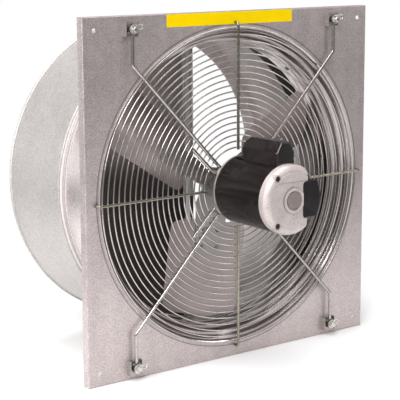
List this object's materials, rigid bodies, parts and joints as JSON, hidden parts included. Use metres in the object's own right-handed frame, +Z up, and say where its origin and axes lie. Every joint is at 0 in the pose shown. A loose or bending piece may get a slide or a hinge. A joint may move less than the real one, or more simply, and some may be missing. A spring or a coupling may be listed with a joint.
{
  "type": "wall exhaust fan",
  "caption": "Square wall panel fan with venturi mouth, ring guard, motor hung on corner arms, paddle propeller and a rear barrel with butterfly damper doors.",
  "frame": {"origin": "centre of the wall panel's room-side face, on the fan's axis", "axes": "+Y is the way the air leaves, -Y faces the room, +Z is up, +X is to the right seen from the room"},
  "size_m": [0.74, 0.6389, 0.74],
  "materials": {
    "panel_steel": "galvanised sheet, faint spangle, satin",
    "collar_steel": "galvanised sheet, satin",
    "barrel_steel": "galvanised sheet, satin",
    "damper_steel": "galvanised sheet, satin",
    "door_steel": "galvanised sheet, satin",
    "hinge_steel": "zinc plated rod",
    "strip_yellow": "plain yellow film, no print",
    "guard_wire": "zinc plated wire, bright",
    "arm_rod": "zinc plated rod, bright",
    "bracket_zinc": "zinc plated sheet",
    "bush_rubber": "black rubber",
    "washer_zinc": "zinc plated washer",
    "pin_zinc": "zinc plated pin",
    "clip_wire": "bright spring wire",
    "shell_black": "gloss black paint",
    "bell_cast": "die cast, unpainted",
    "bolt_steel": "dark steel bolts",
    "cap_grey": "die cast, darker",
    "bearing_steel": "ground steel",
    "lamination": "stacked sheet iron",
    "winding": "lacquered copper wire",
    "stud_zinc": "zinc plated stud and spacer",
    "nut_zinc": "zinc plated nut",
    "hood_black": "gloss black",
    "capacitor_can": "drawn can",
    "screw_steel": "small steel screws",
    "terminal_black": "moulded, matte black",
    "board_tan": "phenolic board",
    "shaft_steel": "ground steel",
    "hub_steel": "turned steel",
    "spider_steel": "pressed steel",
    "blade_aluminium": "mill finish sheet",
    "rivet_steel": "dull steel rivets",
    "set_screw_steel": "black steel",
    "saddle_zinc": "die cast block",
    "bumper_rubber": "black rubber"
  },
  "bodies": {
    "frame": {"wall_panel": "panel_steel", "throat_collar": "collar_steel", "barrel": "barrel_steel", "damper_post": "damper_steel", "hinge_rods": "hinge_steel", "caution_strip": "strip_yellow", "guard_rings": "guard_wire", "guard_spokes": "guard_wire", "arm_upper_right": "arm_rod", "arm_upper_left": "arm_rod", "arm_lower_left": "arm_rod", "arm_lower_right": "arm_rod", "corner_brackets": "bracket_zinc", "inner_bushes": "bush_rubber", "outer_bushes": "bush_rubber", "pin_washers": "washer_zinc", "stud_washers": "washer_zinc", "corner_pins": "pin_zinc", "hairpin_clips": "clip_wire", "motor_shell": "shell_black", "rear_end_bell": "bell_cast", "drive_end_bell": "bell_cast", "through_bolts": "bolt_steel", "bearing_cap": "cap_grey", "front_bearing": "bearing_steel", "rear_bearing": "bearing_steel", "stator_core": "lamination", "stator_windings": "winding", "motor_studs": "stud_zinc", "stud_spacers": "stud_zinc", "stud_nuts": "nut_zinc", "capacitor_cover": "hood_black", "run_capacitor": "capacitor_can", "cover_screws": "screw_steel", "terminal_screws": "screw_steel", "saddle_screws": "screw_steel", "terminal_cover": "terminal_black", "terminal_board": "board_tan", "throat_rivets": "rivet_steel", "post_saddles": "saddle_zinc", "door_bumpers": "bumper_rubber"},
    "fan": {"motor_shaft": "shaft_steel", "rotor_core": "lamination", "propeller_hub": "hub_steel", "propeller_spider": "spider_steel", "blade_1": "blade_aluminium", "blade_2": "blade_aluminium", "blade_3": "blade_aluminium", "blade_rivets": "rivet_steel", "hub_set_screw": "set_screw_steel"},
    "left_door": {"left_door": "door_steel"},
    "right_door": {"right_door": "door_steel"}
  },
  "joints": [
    {"name": "fan_spin", "type": "hinge", "parent": "frame", "child": "fan", "pos_m": [0, 0, 0], "axis": [0, 1, 0], "continuous": true},
    {"name": "left_door_swing", "type": "hinge", "parent": "frame", "child": "left_door", "pos_m": [-0.01095, 0.172, 0], "axis": [0, 0, 1], "range_deg": [-30, 60]},
    {"name": "right_door_swing", "type": "hinge", "parent": "frame", "child": "right_door", "pos_m": [0.01095, 0.172, 0], "axis": [0, 0, -1], "range_deg": [-30, 60]}
  ]
}
